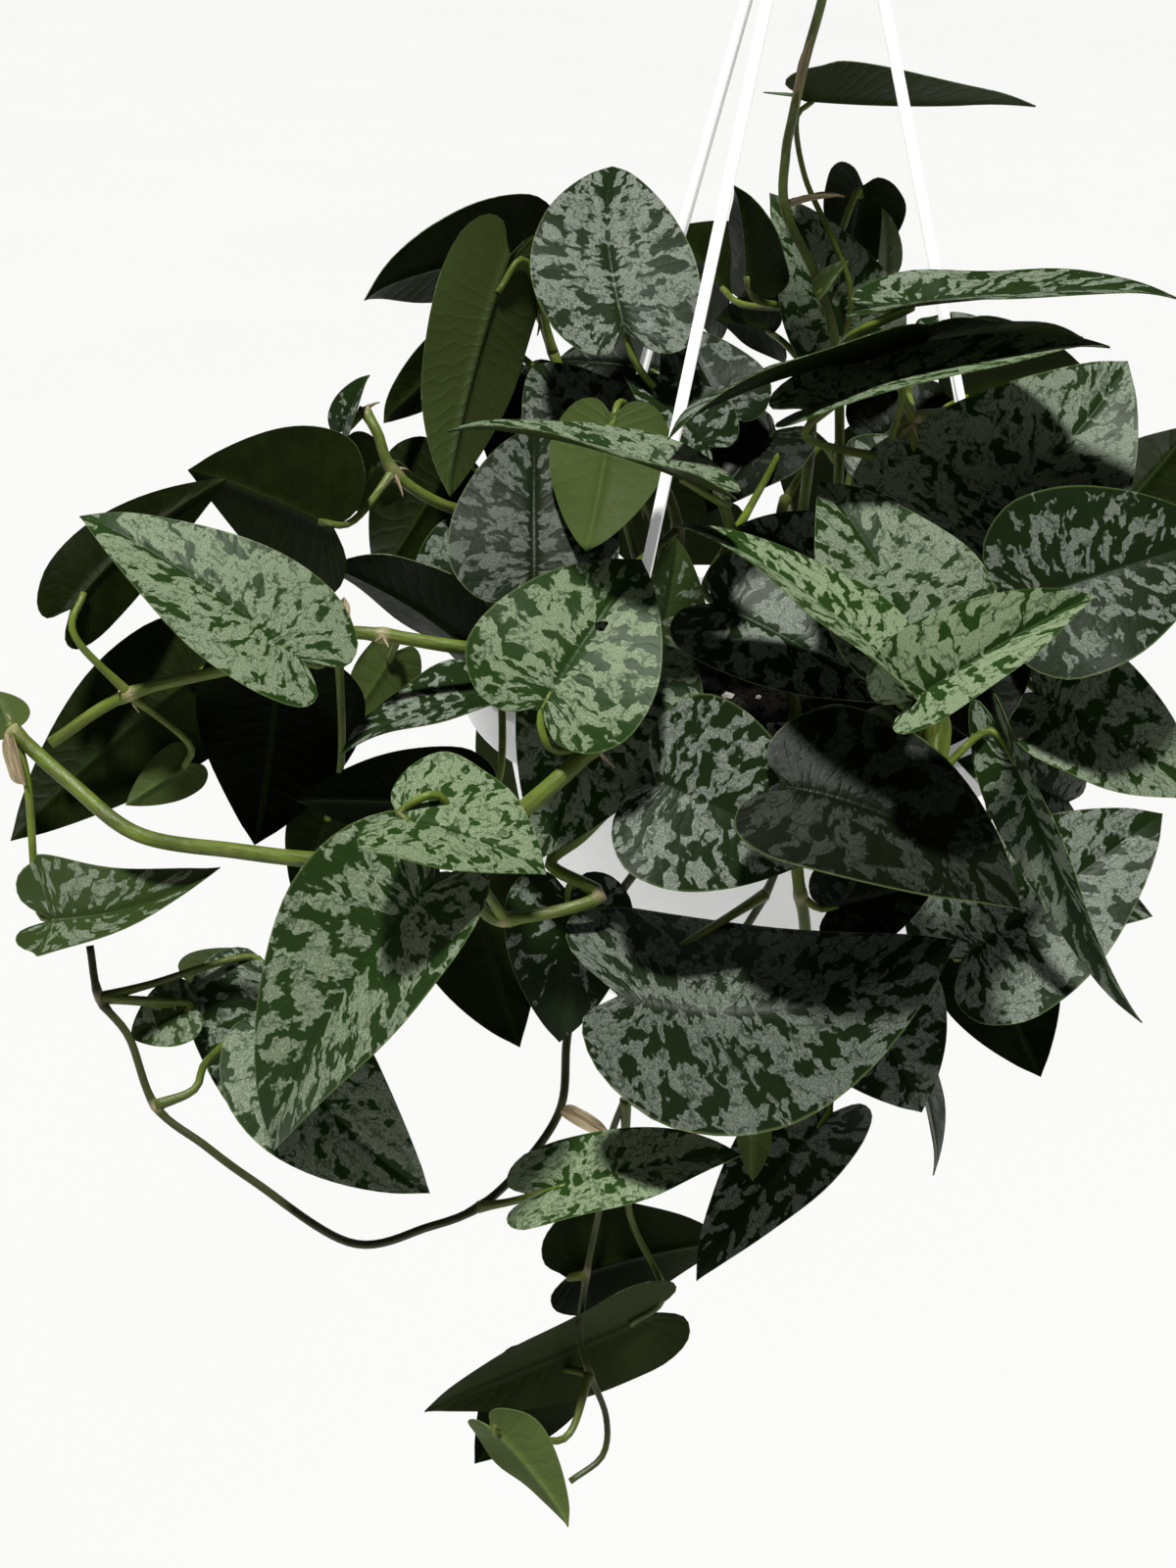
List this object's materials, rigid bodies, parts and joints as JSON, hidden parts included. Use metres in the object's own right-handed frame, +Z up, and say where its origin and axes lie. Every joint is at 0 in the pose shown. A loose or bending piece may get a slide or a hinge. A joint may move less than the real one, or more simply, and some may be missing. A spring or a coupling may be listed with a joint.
{
  "type": "hanging potted plant",
  "caption": "Satin pothos with silver-splashed heart-shaped leaves on trailing vines, in a round pot hung from a hook on slender rods.",
  "frame": {"origin": "the point under the top of the hook's bend, where the plant hangs", "axes": "+Z up through the hook; the plant's fuller side faces -Y; +X is to the right of that side"},
  "size_m": [0.3436, 0.2837, 0.5295],
  "materials": {
    "plastic": "satin",
    "soil": "matte",
    "foliage": "satin"
  },
  "bodies": {
    "root": {"pot": "plastic", "soil": "soil", "hanger_hook": "plastic", "hanger_rod_right": "plastic", "hanger_rod_back": "plastic", "hanger_rod_front": "plastic", "vine_climber": "foliage", "vine_crown": "foliage", "vine_right_top": "foliage", "vine_right": "foliage", "vine_right_front": "foliage", "vine_front": "foliage", "vine_centre": "foliage", "vine_left_front": "foliage", "vine_heart": "foliage", "vine_dangling": "foliage", "vine_bottom": "foliage", "vine_left_crown": "foliage", "vine_left_top": "foliage", "vine_left": "foliage", "vine_inner": "foliage", "vine_back_1": "foliage", "vine_back_2": "foliage", "vine_back_3": "foliage"}
  },
  "joints": []
}
